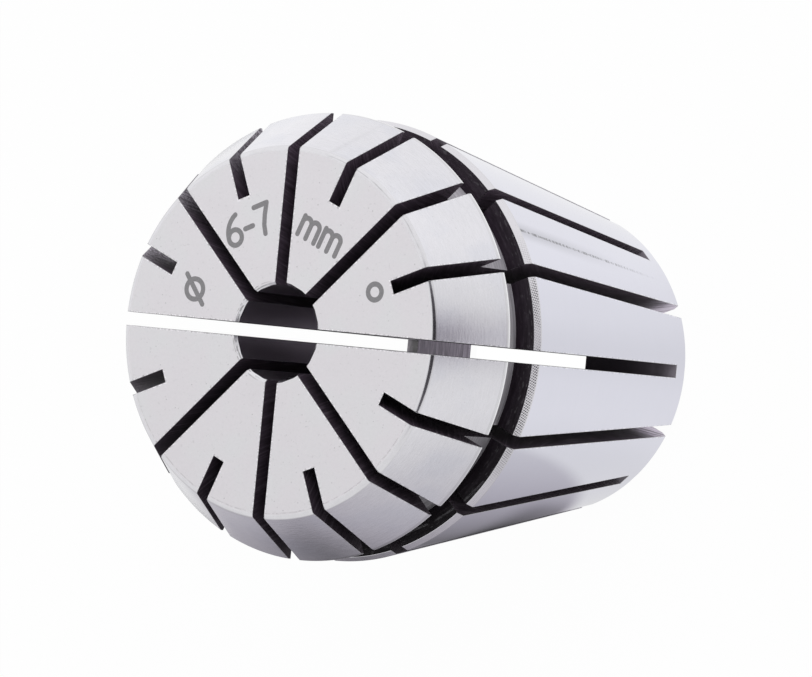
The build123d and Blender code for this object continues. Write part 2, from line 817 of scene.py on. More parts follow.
@dataclass(frozen=True)
class ScaleFinish(Finish):
    """Black heat-treatment scale, rubbed bright where a tool reached it, with painted light in the mouths
    of the cuts and beside the head.
    """

    name: str
    tone: Colour
    bright_steel: Colour
    grain: Grain = Grain.SAWN
    along: float = 0.25  # marks for each millimetre along their length
    across: float = 7.0  # marks for each millimetre across them
    contrast: float = 1.2  # how much the marks change the scale's tone
    darkest: float = 0.1  # how far down they take it, as a share
    streaks: float = 0.5  # how much of the scale shows faint streaks
    streak: Fade = Fade(0.52, 0.78)
    blotches: Rise = Rise(0.1, 0.25)  # how strong those streaks are where it is blotched
    blotch_density: float = 0.9  # blotches for each millimetre
    light_marks: Fade = Fade(0.25, 0.75, 1.7)  # how unevenly the saw marks break the painted light
    least_light: float = 0.1  # the painted light's share where the saw marks dim it most
    mouth: Fade = Fade(6.5, 0.2)  # painted light in the cuts towards the open rear end
    closed_mouth: float = 0.25  # the same for a cut that ends before the rear end, as a share
    # painted light in the cuts beside the head; it also turns on the painted light at their rear mouths
    head: HeadCutLight | None = None
    outer: float = 0.0  # how far it is rubbed towards the outside of the groove
    outer_edge: Fade = Fade(14.9, 16.2)
    outer_marks: Rise = Rise(0.1, 1.4)  # how the marks show there
    dots: Fade = Fade(0.6, 0.72, 4.0)  # the small bright dots that it has there
    dot_grain: tuple[float, float] = (2.2, 9.0)  # dots for each millimetre, along and across
    rings: tuple[Ring, ...] = ()  # fine bright lines on it: painted highlights
    worn_cut: float | None = None  # the cut whose outer edge is worn bare, in degrees, if one is
    worn_depth: Fade = Fade(0.3, 0.2)  # how deep it is worn, in millimetres
    metal: float = 0.0  # how metallic the scale itself is
    painted_side_light: float = 0.0  # painted side light: how much lighter it grows with each millimetre along Y
    roughness: float = 0.55
    smoother: float = 0.2  # how much less rough it is where it is rubbed and where light is painted
    uneven: float = 0.15  # how much the blotches change its roughness
    depth: float = 2e-6  # of the marks, in metres
    gloss: float = 0.5
    grazing: Colour = grey(1.0)  # its tint at a flat angle

    def sockets(self, place: SurfacePlace) -> dict[str, Any]:
        """What the shader's sockets are given.

        Args:
            place: The place on the surface.

        Returns:
            Values and links by the names of the sockets.
        """
        tree = place.tree
        marks = tree.noise(place.grain(self.grain, self.along, self.across), detail=4.0, roughness=0.65)
        blotch = place.patches(self.blotch_density, detail=3.0)
        bright = self.streak.of(marks) * self.streaks * self.blotches.of(blotch)
        # painted light at the mouths of the cuts and beside the head, broken by the saw marks
        if self.head:
            bright = bright + self._mouth_light(place) * (self.least_light + self.light_marks.of(marks))
        if self.outer:
            dots = self.dots.of(tree.noise(place.grain(self.grain, *self.dot_grain), detail=1.0))
            bright_steel = self.outer_marks.of(marks) + dots
            bright = bright + self.outer * self.outer_edge.of(place.radius) * bright_steel
        worn = self.worn_depth.of(place.seat_depth) * place.worn_cut(self.worn_cut)
        bright = bright + worn
        for ring in self.rings:
            bright = bright + ring.shade(place)
        bright = bright.smaller(1.0)
        shade = (1 + self.contrast * (2 * marks - 1)).larger(self.darkest) * (1 + self.painted_side_light * place.y)
        relief = {"Strength": 1.0, "Distance": self.depth, "Height": marks}
        return {
            "Base Color": tree.mix(bright, tree.scaled(self.tone, shade), self.bright_steel),
            "Roughness": self.roughness - self.smoother * bright + self.uneven * (blotch - 0.5),
            "Metallic": (self.metal + bright * (1 - self.metal)) * (1 - worn),
            "Specular IOR Level": self.gloss,
            "Specular Tint": self.grazing,
            "Normal": tree.add("ShaderNodeBump", None, relief),
        }

    def _mouth_light(self, place: SurfacePlace) -> Link:
        """How much painted light brightens the mouths of the cuts, at the rear end and on one side of the
        head.
        """
        rear = self.mouth.of(place.z) * (self.closed_mouth + (1 - self.closed_mouth) * place.rear_cut)
        return rear.larger(self.head.shade(place))


@dataclass(frozen=True)
class MarkFinish(Finish):
    """Grey laser marking, a little grainy."""

    name: str
    tone: Colour
    metal: float = 0.6
    density: float = 7.0  # grains for each millimetre
    shade: Rise = Rise(0.7, 0.6)
    roughness: Rise = Rise(0.5, 0.2)

    def sockets(self, place: SurfacePlace) -> dict[str, Any]:
        """What the shader's sockets are given.

        Args:
            place: The place on the surface.

        Returns:
            Values and links by the names of the sockets.
        """
        grain = place.patches(self.density, roughness=0.6)
        return {
            "Base Color": place.tree.scaled(self.tone, self.shade.of(grain)),
            "Roughness": self.roughness.of(grain),
            "Metallic": self.metal,
        }


# ---------------------------------------------------------------------------------------
# The collet
# ---------------------------------------------------------------------------------------


@dataclass
class Lattice:
    """The points and faces of the collet before its edges are broken, as they are laid out."""

    stations: list[Corner]
    fingers: int
    steps: int  # faces across each finger
    points: list[tuple[float, float, float]] = field(default_factory=list)
    faces: list[tuple[int, ...]] = field(default_factory=list)
    surfaces: list[int] = field(default_factory=list)
    breaks: dict[tuple[int, int], float] = field(default_factory=dict)

    def station(self, index: int) -> Corner:
        """A point of the section, counted on past its end."""
        return self.stations[index % len(self.stations)]

    def at(self, index: int, finger: int, step: int) -> int:
        """The number of a point, from its place along the section, its finger and its column."""
        row = (index % len(self.stations)) * self.fingers + finger % self.fingers
        return row * (self.steps + 1) + step

    def add_point(self, x: float, y: float, z: float) -> int:
        """Adds a point and gives its number."""
        self.points.append((x, y, z))
        return len(self.points) - 1

    def add_face(self, corners: list[int], surface: Surface) -> None:
        """Adds a face of a surface."""
        self.faces.append(tuple(corners))
        self.surfaces.append(int(surface))

    def break_edge(self, first: int, second: int, width: float) -> None:
        """Notes how far an edge is broken."""
        if width:
            self.breaks[tuple(sorted((first, second)))] = width


VIOLET = (0.92, 0.84, 0.94, 1.0)  # the tint of dark steel at a flat angle
WORN_CUT = 67.5  # the saw cut whose edges are worn along the seat taper, in degrees


def collet_finishes() -> dict[Surface, Finish]:
    """The finish of each of the collet's surfaces.

    Returns:
        The finishes, some of them on more than one surface.
    """
    face = SteelFinish(
        "lapped_face",
        grey(0.735, 0.03, 0.042),
        Grain.LAPPED,
        along=4.0,
        across=4.0,
        contrast=0.05,
        cloud_tone=grey(0.735, 0.008, 0.03),
        pitted=0.3,
        roughness=0.34,
        depth=0.3e-6,
        burrs=0.6,
        painted_side_light=0.002,
        rings=(Ring(13.13, 0.05, 0.16, side=-88.0), Ring(3.77, 0.045, 0.4, side=178.0)),
    )
    head = SteelFinish(
        "ground_head_cone",
        grey(0.825, 0.01, 0.05),
        along=1.3,
        across=5.4,
        cloud_tone=grey(0.78, 0.0, 0.07),
        pitted=0.1,
        roughness=0.18,
        depth=6e-6,
        anisotropy=0.3,
        burrs=0.5,
        dark_streak=DarkStreak(76.9, -0.12, line_depth=0.0, dark_band=0.4, dark_band_depth=0.06, top=39.5, foot=33.0),
    )
    rim = SteelFinish("ground_rim_land", grey(0.97, 0.0, 0.02), along=1.0, contrast=0.05, roughness=0.3)
    seat = SteelFinish(
        "ground_seat_taper",
        grey(0.785, 0.0, 0.12),
        contrast=0.016,
        cloud=0.012,
        roughness=0.095,
        burrs=0.6,
        # a dark streak along this finger of the seat: painted reflection
        dark_streak=DarkStreak(33.65),
    )
    lip = SteelFinish(
        "turned_lip",
        grey(0.78, 0.02, 0.05),
        along=1.5,
        across=8.0,
        contrast=0.05,
        pitted=0.1,
        roughness=0.3,
        chatter=Chatter(),
    )
    rear = SteelFinish(
        "turned_rear_end", grey(0.74, 0.01, 0.05), across=6.0, contrast=0.06, roughness=0.32, depth=1.5e-6
    )
    bore = SteelFinish(
        "ground_bore", grey(0.28, 0.12, 0.18), across=5.0, contrast=0.06, roughness=0.45, grazing=VIOLET
    )
    edge = SteelFinish(
        "broken_edge",
        grey(0.745, 0.01, 0.04),
        along=1.2,
        across=3.0,
        contrast=0.09,
        roughness=0.16,
        depth=1.5e-6,
        burrs=0.0,
        cut_tone=0.68,
        groove_tone=0.12,
        worn_cut=WORN_CUT,
        rings=(Ring(3.6, 0.04, 0.5, side=178.0), Ring(13.4, 0.04, 0.2, side=44.0, reach=34.0, breaks=0.7)),
    )
    sawn = ScaleFinish(
        "black_scale_in_cuts",
        grey(0.037, 0.38, 0.42),
        grey(0.7, 0.03, 0.09),
        contrast=1.5,
        # painted light in the mouths of the cuts and in the cuts beside the head
        head=HeadCutLight(),
        worn_cut=WORN_CUT,
        painted_side_light=0.03,
        grazing=VIOLET,
    )
    groove_floor = ScaleFinish(
        "turned_groove_floor",
        grey(0.33, 0.05, 0.1),
        grey(0.7, 0.02, 0.04),
        Grain.ROUND,
        along=0.3,
        across=3.0,
        contrast=1.0,
        streaks=2.0,
        metal=0.15,
        painted_side_light=0.035,
        roughness=0.5,
    )
    groove_wall = ScaleFinish(
        "black_scale_in_groove",
        grey(0.012, 0.45, 0.5),
        grey(0.3, 0.02, 0.05),
        Grain.ROUND,
        along=0.6,
        contrast=1.1,
        streaks=0.22,
        outer=0.06,
        # a thin bright arc in the dark groove: painted highlight
        rings=(Ring(15.65, 0.07, 1.0, side=-52.0, reach=19.0, lean=1.5, breaks=0.8),),
        painted_side_light=0.04,
        roughness=0.5,
        gloss=0.12,
    )
    # turned grey steel, lightened to stand in for light that would reach it through the open rear end:
    # partly painted light
    hollow = ScaleFinish(
        "grey_turned_relief_with_painted_light",
        grey(0.24, 0.12, 0.22),
        grey(0.4, 0.05, 0.1),
        Grain.ROUND,
        along=0.3,
        across=4.0,
        streaks=1.6,
        metal=0.3,
        roughness=0.5,
        grazing=VIOLET,
    )
    surfaces = {
        face: (Surface.FACE,),
        head: (Surface.CONE,),
        rim: (Surface.RIM,),
        groove_wall: (Surface.HEAD_BACK, Surface.GROOVE_WALL),
        groove_floor: (Surface.GROOVE,),
        lip: (Surface.LIP,),
        seat: (Surface.TAPER,),
        rear: (Surface.REAR_EDGE, Surface.REAR_END, Surface.RELIEF_EDGE),
        hollow: (Surface.RELIEF, Surface.DRILL_CONE),
        bore: (Surface.BORE,),
        edge: (Surface.MOUTH, Surface.BROKEN_EDGE),
        sawn: (Surface.SAW_WALL, Surface.SAW_FLOOR),
    }
    return {surface: finish for finish, places in surfaces.items() for surface in places}


@dataclass
class ColletBody:
    """The collet itself: one turned, ground and sawn piece of spring steel."""

    sizes: ColletSizes = field(default_factory=ColletSizes)
    finger_steps: int = 20  # faces across each finger, of which the first and last are narrow
    guard: float = 0.06 * MM  # the width of those two
    arc_steps: int = 28
    break_segments: int = 4
    longest_face: float = 1.6 * MM
    face_drop: float = 0.006 * MM  # room for the marks under the top of the frame

    def section(self) -> list[Corner]:
        """The turned section, clockwise from the inner edge of the face.

        Returns:
            Its corners, with the points where the saw cuts stop.
        """
        s = self.sizes
        top = s.overall_length - self.face_drop
        bore = s.bore_diameter / 2
        relief = s.relief_diameter / 2
        lip_radius = s.body_radius - s.groove_lip * math.tan(math.radians(s.lip_angle))
        relief_top = s.bore_start - (relief - bore) / math.tan(math.radians(s.relief_angle))
        stop_radius = s.rear_radius + s.front_cut_stop * s.seat_slope
        slant = math.radians(s.seat_angle)
        edge_radius = s.rear_radius + s.rear_edge * math.sin(slant)
        edge_height = s.rear_edge * math.cos(slant)
        front_in_relief = s.front_saw_height - s.saw_rise(relief)
        rear_in_bore = s.rear_saw_height + s.saw_rise(bore)
        ground, sawn = s.ground_break, s.sawn_break
        return [
            Corner(bore + s.bore_edge, top, Surface.FACE, sawn),
            Corner(s.rear_cut_exit, top, Surface.FACE, stops="rear"),
            Corner(s.face_diameter / 2, top, Surface.CONE, s.face_round),
            Corner(s.body_radius, s.groove_top + s.rim_land, Surface.RIM, s.rim_round),
            Corner(s.body_radius, s.groove_top, Surface.HEAD_BACK, sawn),
            Corner(s.groove_diameter / 2, s.groove_top, Surface.GROOVE),
            Corner(s.groove_diameter / 2, s.groove_top - s.groove_width, Surface.GROOVE_WALL),
            Corner(lip_radius, s.groove_top - s.groove_width, Surface.LIP, sawn),
            Corner(s.body_radius, s.seat_top, Surface.TAPER, ground),
            Corner(stop_radius, s.front_cut_stop, Surface.TAPER, stops="front"),
            Corner(edge_radius, edge_height, Surface.REAR_EDGE, ground),
            Corner(s.rear_radius - s.rear_edge, 0.0, Surface.REAR_END, ground),
            Corner(relief + s.relief_edge, 0.0, Surface.RELIEF_EDGE, sawn),
            Corner(relief, s.relief_edge, Surface.RELIEF, sawn),
            Corner(relief, front_in_relief, Surface.RELIEF, stops="front"),
            Corner(relief, relief_top, Surface.DRILL_CONE),
            Corner(bore, s.bore_start, Surface.BORE, sawn),
            Corner(bore, rear_in_bore, Surface.BORE, stops="rear"),
            Corner(bore, top - s.bore_edge, Surface.MOUTH, sawn),
        ]

    def stations(self) -> list[Corner]:
        """The section with its long stretches divided.

        Returns:
            Corners and the points between them, in order.
        """
        corners = self.section()
        result = []
        for here, there in zip(corners, corners[1:] + corners[:1]):
            result.append(here)
            length = math.hypot(there.radius - here.radius, there.height - here.height)
            parts = max(1, round(length / self.longest_face))
            for step in range(1, parts):
                share = step / parts
                radius = here.radius + share * (there.radius - here.radius)
                height = here.height + share * (there.height - here.height)
                result.append(Corner(radius, height, here.surface))
        return result

    def column_angle(self, finger: int, step: int, radius: float) -> float:
        """The angle of a point of a finger, whose sides run parallel to the cuts beside it.

        Args:
            finger: Which finger, counted from the cut on +X.
            step: Which column of it.
            radius: The point's distance from the axis.

        Returns:
            The angle round the axis, in radians.
        """
        half_slot = math.asin(self.sizes.slot_width / 2 / radius)
        start = finger * self.sizes.slot_pitch + half_slot
        end = (finger + 1) * self.sizes.slot_pitch - half_slot
        guard = self.guard / radius
        if step == 0:
            return start
        if step == self.finger_steps:
            return end
        share = (step - 1) / (self.finger_steps - 2)
        return (start + guard) * (1 - share) + (end - guard) * share

    def build(self) -> bpy.types.Object:
        """Makes the collet's mesh, with its edges broken and its normals true.

        Returns:
            The new object.
        """
        lattice = self._lattice()
        mesh = bpy.data.meshes.new("collet_blank")
        mesh.from_pydata(lattice.points, [], lattice.faces)
        mesh.validate()
        for _ in Surface:
            mesh.materials.append(None)
        mesh.polygons.foreach_set("material_index", lattice.surfaces)
        widest = max(lattice.breaks.values())
        weights = mesh.attributes.new("bevel_weight_edge", "FLOAT", "EDGE")
        for edge in mesh.edges:
            weights.data[edge.index].value = lattice.breaks.get(tuple(sorted(edge.vertices)), 0.0) / widest
        blank = bpy.data.objects.new("collet_blank", mesh)
        bpy.context.scene.collection.objects.link(blank)
        bevel = blank.modifiers.new("broken_edges", "BEVEL")
        bevel.limit_method = "WEIGHT"
        bevel.offset_type = "OFFSET"
        bevel.width = widest
        bevel.segments = self.break_segments
        bevel.material = Surface.BROKEN_EDGE
        bevel.use_clamp_overlap = True
        view = bpy.context.evaluated_depsgraph_get()
        finished = bpy.data.meshes.new_from_object(blank.evaluated_get(view))
        bpy.data.objects.remove(blank)
        bpy.data.meshes.remove(mesh)
        finished.name = "dressed_collet"
        self._set_normals(finished)
        body = bpy.data.objects.new("dressed_collet", finished)
        bpy.context.scene.collection.objects.link(body)
        return body

    def _lattice(self) -> Lattice:
        """Lays out the fingers, the bridges between them and the walls of the cuts.

        Returns:
            Points, faces, the surface of each face, and how far each edge is broken.
        """
        s = self.sizes
        fingers = 2 * s.cuts_each_way
        lattice = Lattice(self.stations(), fingers, self.finger_steps)
        count = len(lattice.stations)
        for station in lattice.stations:
            for finger in range(fingers):
                for step in range(self.finger_steps + 1):
                    angle = self.column_angle(finger, step, station.radius)
                    x = station.radius * math.cos(angle)
                    y = station.radius * math.sin(angle)
                    lattice.add_point(x, y, station.height)
        for index, station in enumerate(lattice.stations):
            for finger in range(fingers):
                for step in range(self.finger_steps):
                    here, there = (lattice.at(i, finger, step) for i in (index, index + 1))
                    beside, across = (lattice.at(i, finger, step + 1) for i in (index, index + 1))
                    lattice.add_face([here, there, across, beside], station.surface)
                    lattice.break_edge(here, beside, station.edge_break)
        for slot in range(fingers):
            kind = "rear" if slot % 2 else "front"
            low, high = [i for i, station in enumerate(lattice.stations) if station.stops == kind]
            bridged, opened = (low, high), (high, low + count)
            if kind == "rear":
                bridged, opened = opened, bridged
            self._add_bridge(lattice, slot, bridged)
            self._add_cut(lattice, slot, opened)
        return lattice

    def _add_bridge(self, lattice: Lattice, slot: int, bridged: tuple[int, int]) -> None:
        """Adds the surface of the metal that a saw cut leaves whole.

        Args:
            lattice: What the faces join.
            slot: Which cut.
            bridged: The first and last station that the metal spans.
        """
        for index in range(*bridged):
            left, left_next = (lattice.at(i, slot - 1, self.finger_steps) for i in (index, index + 1))
            right, right_next = (lattice.at(i, slot, 0) for i in (index, index + 1))
            station = lattice.station(index)
            lattice.add_face([left, left_next, right_next, right], station.surface)
            if index > bridged[0]:
                lattice.break_edge(left, right, station.edge_break)

    def _add_cut(self, lattice: Lattice, slot: int, opened: tuple[int, int]) -> None:
        """Adds the two walls and the round floor of one saw cut.

        Args:
            lattice: What the faces join.
            slot: Which cut.
            opened: The first and last station that the cut lays open.
        """
        s = self.sizes
        half = s.slot_width / 2
        angle = slot * s.slot_pitch
        saw_height = s.saw_height(slot)

        def from_saw(station: Corner) -> tuple[float, float]:
            """Where a station is from the saw's centre.

            Args:
                station: A point of the section.

            Returns:
                Its distance, and its direction in radians.
            """
            out = math.sqrt(station.radius**2 - half**2) - s.saw_offset
            up = station.height - saw_height
            return math.hypot(out, up), math.atan2(up, -out)

        reach_0, turn_0 = from_saw(lattice.station(opened[1]))
        reach_1, turn_1 = from_saw(lattice.station(opened[0]))
        floors = []
        for side, finger, step in ((1, slot, 0), (-1, slot - 1, self.finger_steps)):
            wall = [lattice.at(index, finger, step) for index in range(opened[0], opened[1] + 1)]
            for start, end in zip(wall, wall[1:]):
                lattice.break_edge(start, end, s.sawn_break)
            floor = [wall[-1]]
            for number in range(1, self.arc_steps):
                share = number / self.arc_steps
                reach = reach_0 + share * (reach_1 - reach_0)
                turn = turn_0 + share * (turn_1 - turn_0)
                out = s.saw_offset - reach * math.cos(turn)
                x = out * math.cos(angle) - side * half * math.sin(angle)
                y = out * math.sin(angle) + side * half * math.cos(angle)
                floor.append(lattice.add_point(x, y, saw_height + reach * math.sin(turn)))
            floor.append(wall[0])
            floors.append(floor)
            outline = wall + floor[1:-1]
            lattice.add_face(outline[::-1] if side > 0 else outline, Surface.SAW_WALL)
        plus, minus = floors
        for number in range(self.arc_steps):
            quad = [plus[number], plus[number + 1], minus[number + 1], minus[number]]
            lattice.add_face(quad, Surface.SAW_FLOOR)
        lattice.break_edge(plus[0], minus[0], s.sawn_break)
        lattice.break_edge(plus[-1], minus[-1], s.sawn_break)

    def _slopes(self) -> dict[int, tuple[float, float]]:
        """The slopes of the turned surfaces.

        Returns:
            The outward and upward parts of each surface's normal.
        """
        corners = self.section()
        slopes = {}
        for here, there in zip(corners, corners[1:] + corners[:1]):
            run, rise = there.radius - here.radius, there.height - here.height
            length = math.hypot(run, rise)
            slopes[int(here.surface)] = (-rise / length, run / length)
        return slopes

    def _true_normal(self, out: float, up: float, surface: int, point: Vector) -> Vector:
        """The normal of a turned or sawn surface at a point.

        Args:
            out: The outward part of the turned surface's normal.
            up: Its upward part.
            surface: The surface.
            point: The point.

        Returns:
            The normal, of length 1.
        """
        s = self.sizes
        if surface == Surface.SAW_FLOOR:
            slot = round(math.atan2(point.y, point.x) / s.slot_pitch)
            angle = slot * s.slot_pitch
            inward = s.saw_offset - point.x * math.cos(angle) - point.y * math.sin(angle)
            rise = s.saw_height(slot) - point.z
            return Vector((inward * math.cos(angle), inward * math.sin(angle), rise)).normalized()
        if surface == Surface.CONE:
            low, high = s.groove_top + s.rim_land, s.overall_length
            tilt = math.radians(s.cone_crown) * (2 * (point.z - low) / (high - low) - 1)
            out, up = out - tilt * up, up + tilt * out
        reach = math.hypot(point.x, point.y)
        return Vector((out * point.x / reach, out * point.y / reach, up)).normalized()

    def _set_normals(self, mesh: bpy.types.Mesh) -> None:
        """Gives each corner of the mesh the normal of the true surface, for clean reflections.

        Args:
            mesh: The finished mesh, its material numbers still the surfaces.
        """
        slopes = self._slopes()

        def normal_at(polygon: bpy.types.MeshPolygon, vertex: int) -> Vector:
            """The true normal of a polygon's surface at one of its corners.

            Args:
                polygon: The polygon.
                vertex: The corner's number.

            Returns:
                The normal, of length 1.
            """
            surface = polygon.material_index
            if surface == Surface.SAW_WALL:
                return polygon.normal.copy()
            return self._true_normal(*slopes.get(surface, (0.0, 0.0)), surface, mesh.vertices[vertex].co)

        beside: dict[int, Vector] = {}
        blended: dict[int, Vector] = {}
        for polygon in mesh.polygons:
            for vertex in polygon.vertices:
                if polygon.material_index == Surface.BROKEN_EDGE:
                    blended[vertex] = blended.get(vertex, Vector()) + polygon.normal * polygon.area
                else:
                    beside[vertex] = normal_at(polygon, vertex)
        normals = [Vector((0, 0, 1))] * len(mesh.loops)
        for polygon in mesh.polygons:
            polygon.use_smooth = True
            for loop in polygon.loop_indices:
                vertex = mesh.loops[loop].vertex_index
                if polygon.material_index != Surface.BROKEN_EDGE:
                    normals[loop] = normal_at(polygon, vertex)
                elif vertex in beside:
                    normals[loop] = beside[vertex]
                else:
                    normals[loop] = blended[vertex].normalized()
        mesh.normals_split_custom_set([tuple(normal) for normal in normals])

    def dress(self, body: bpy.types.Object) -> None:
        """Gives each surface its finish.

        Args:
            body: The collet's object.
        """
        finishes = collet_finishes()
        used = list(dict.fromkeys(finishes.values()))
        mesh = body.data
        surfaces = np.zeros(len(mesh.polygons), np.int32)
        mesh.polygons.foreach_get("material_index", surfaces)
        place_of = np.array([used.index(finishes[surface]) for surface in Surface], np.int32)
        mesh.materials.clear()
        for finish in used:
            mesh.materials.append(finish.material(self.sizes))
        mesh.polygons.foreach_set("material_index", place_of[surfaces])
        mesh.update()


# ---------------------------------------------------------------------------------------
# Marks on the face
# ---------------------------------------------------------------------------------------

Stroke = list[tuple[float, float]]


def arc(centre: tuple[float, float], radius: float, start: float, end: float, steps: int = 18) -> Stroke:
    """Points along an arc.

    Args:
        centre: The arc's centre.
        radius: Its radius.
        start: The first angle, in degrees.
        end: The last angle, in degrees.
        steps: How many parts it has.

    Returns:
        The points.
    """
    angles = [math.radians(start + (end - start) * i / steps) for i in range(steps + 1)]
    return [(centre[0] + radius * math.cos(a), centre[1] + radius * math.sin(a)) for a in angles]


class Sign(Enum):
    """The plain signs of a clamping range, drawn in a box one unit high."""

    DIAMETER = "diameter"
    SIX = "6"
    DASH = "-"
    SEVEN = "7"
    LETTER_M = "m"
    RING = "ring"

    def strokes(self) -> list[Stroke]:
        """The sign's strokes.

        Returns:
            One list of points for each stroke.
        """
        if self is Sign.DIAMETER:
            ring = [arc((0.38, 0.5), 0.34, 0, 180), arc((0.38, 0.5), 0.34, 180, 360)]
            return ring + [[(0.04, 0.0), (0.72, 1.0)]]
        if self is Sign.SIX:
            bowl = [arc((0.28, 0.28), 0.26, 0, 180), arc((0.28, 0.28), 0.26, 180, 360)]
            return bowl + [arc((0.78, 0.30), 0.76, 180, 112)]
        if self is Sign.DASH:
            return [[(0.0, 0.42), (0.32, 0.42)]]
        if self is Sign.SEVEN:
            return [[(0.0, 0.98), (0.54, 0.98)], [(0.54, 0.98), (0.36, 0.62), (0.24, 0.3), (0.2, 0.0)]]
        if self is Sign.LETTER_M:
            stems = [[(0.0, 0.0), (0.0, 0.66)], [(0.36, 0.0), (0.36, 0.46)], [(0.72, 0.0), (0.72, 0.46)]]
            return stems + [arc((0.18, 0.46), 0.18, 180, 0), arc((0.54, 0.46), 0.18, 180, 0)]
        return [arc((0.3, 0.5), 0.26, 0, 180), arc((0.3, 0.5), 0.26, 180, 360)]

    @property
    def width(self) -> float:
        """How wide the sign is."""
        points = [point[0] for stroke in self.strokes() for point in stroke]
        return max(points) - min(points)


@dataclass(frozen=True)
class Inscription:
    """A row of signs, upright towards the rim of the face."""

    signs: tuple[Sign, ...]
    angle: float  # of its middle round the axis, in degrees
    radius: float  # of its middle
    height: float = 2.2 * MM
    stroke: float = 0.38 * MM
    gap: float = 0.26  # between signs, as a share of the height

    def outlines(self) -> list[list[Vector]]:
        """The outline of each stroke on the face.

        Returns:
            Closed outlines, which may overlap.
        """
        width = sum(sign.width for sign in self.signs) + self.gap * (len(self.signs) - 1)
        turn = math.radians(self.angle)
        up = Vector((math.cos(turn), math.sin(turn)))
        right = Vector((math.sin(turn), -math.cos(turn)))
        middle = up * self.radius
        result = []
        start = -width / 2
        for sign in self.signs:
            strokes = sign.strokes()
            left = min(point[0] for stroke in strokes for point in stroke)
            for stroke in strokes:
                path = [
                    middle
                    + right * ((x - left + start) * self.height)
                    + up * ((y - 0.5) * self.height)
                    for x, y in stroke
                ]
                result.append(self._ribbon(path))
            start += sign.width + self.gap
        return result

    def _ribbon(self, path: list[Vector], cap_steps: int = 8) -> list[Vector]:
        """The outline of a round-ended line.

        Args:
            path: The line's points.
            cap_steps: How many parts each round end has.

        Returns:
            The outline.
        """
        half = self.stroke / 2
        headings = []
        for i in range(len(path)):
            before, after = path[max(i - 1, 0)], path[min(i + 1, len(path) - 1)]
            headings.append((after - before).normalized())
        sides = [Vector((-heading.y, heading.x)) * half for heading in headings]
        outline = [point + side for point, side in zip(path, sides)]
        outline += self._cap(path[-1], sides[-1], cap_steps)
        outline += [point - side for point, side in reversed(list(zip(path, sides)))]
        outline += self._cap(path[0], -sides[0], cap_steps)
        return outline[::-1]

    @staticmethod
    def _cap(centre: Vector, side: Vector, steps: int) -> list[Vector]:
        """The points of a round end, from one side of the line to the other."""
        turns = [-math.pi * i / steps for i in range(1, steps)]
        return [centre + Matrix.Rotation(turn, 2) @ side for turn in turns]


@dataclass
class FaceMarks:
    """The clamping range, marked on the face in plain signs."""

    sizes: ColletSizes = field(default_factory=ColletSizes)
    thickness: float = 0.012 * MM
    inset: float = 0.001 * MM  # how far the marks stay under the top of the frame
    snap: float = 1e-5  # how near two points of the outlines become one, in millimetres
    tone: Colour = grey(0.285, 0.02, 0.04)
    rows: tuple[Inscription, ...] = (
        Inscription((Sign.DIAMETER,), angle=161.0, radius=8.0 * MM),
        Inscription((Sign.SIX, Sign.DASH, Sign.SEVEN), angle=113.5, radius=8.3 * MM, gap=0.2),
        Inscription((Sign.LETTER_M, Sign.LETTER_M), angle=67.5, radius=8.2 * MM, gap=0.22),
        Inscription((Sign.RING,), angle=23.5, radius=8.9 * MM),
    )

    def build(self) -> bpy.types.Object:
        """Makes the marks as one thin closed mesh.

        Returns:
            The new object.
        """
        corners: list[Vector] = []
        outlines: list[list[int]] = []
        for row in self.rows:
            for outline in row.outlines():
                start = len(corners)
                corners += outline
                outlines.append(list(range(start, start + len(outline))))
        flat = [corner / MM for corner in corners]
        spots, _, triangles, _, _, sources = delaunay_2d_cdt(flat, [], outlines, 0, self.snap)
        inked = [tri for tri, source in zip(triangles, sources) if source]
        top = self.sizes.overall_length - self.inset
        count = len(spots)
        points = [(p.x * MM, p.y * MM, top) for p in spots]
        points += [(x, y, top - self.thickness) for x, y, _ in points]
        faces = []
        borders: set[tuple[int, int]] = set()
        for tri in inked:
            a, b, c = tri
            turn = (spots[b] - spots[a]).cross(spots[c] - spots[a])
            tri = [a, b, c] if turn > 0 else [a, c, b]
            faces += [tuple(tri), tuple(i + count for i in reversed(tri))]
            for start, end in zip(tri, tri[1:] + tri[:1]):
                if (end, start) in borders:
                    borders.remove((end, start))
                else:
                    borders.add((start, end))
        faces += [(end, start, start + count, end + count) for start, end in sorted(borders)]
        mesh = bpy.data.meshes.new("face_marks")
        mesh.from_pydata(points, [], faces)
        mesh.validate()
        marks = bpy.data.objects.new("face_marks", mesh)
        bpy.context.scene.collection.objects.link(marks)
        return marks

    def dress(self, marks: bpy.types.Object) -> None:
        """Gives the marks their grey."""
        marks.data.materials.append(MarkFinish("laser_mark_grey", self.tone).material(self.sizes))


# ---------------------------------------------------------------------------------------
# Studio
# ---------------------------------------------------------------------------------------


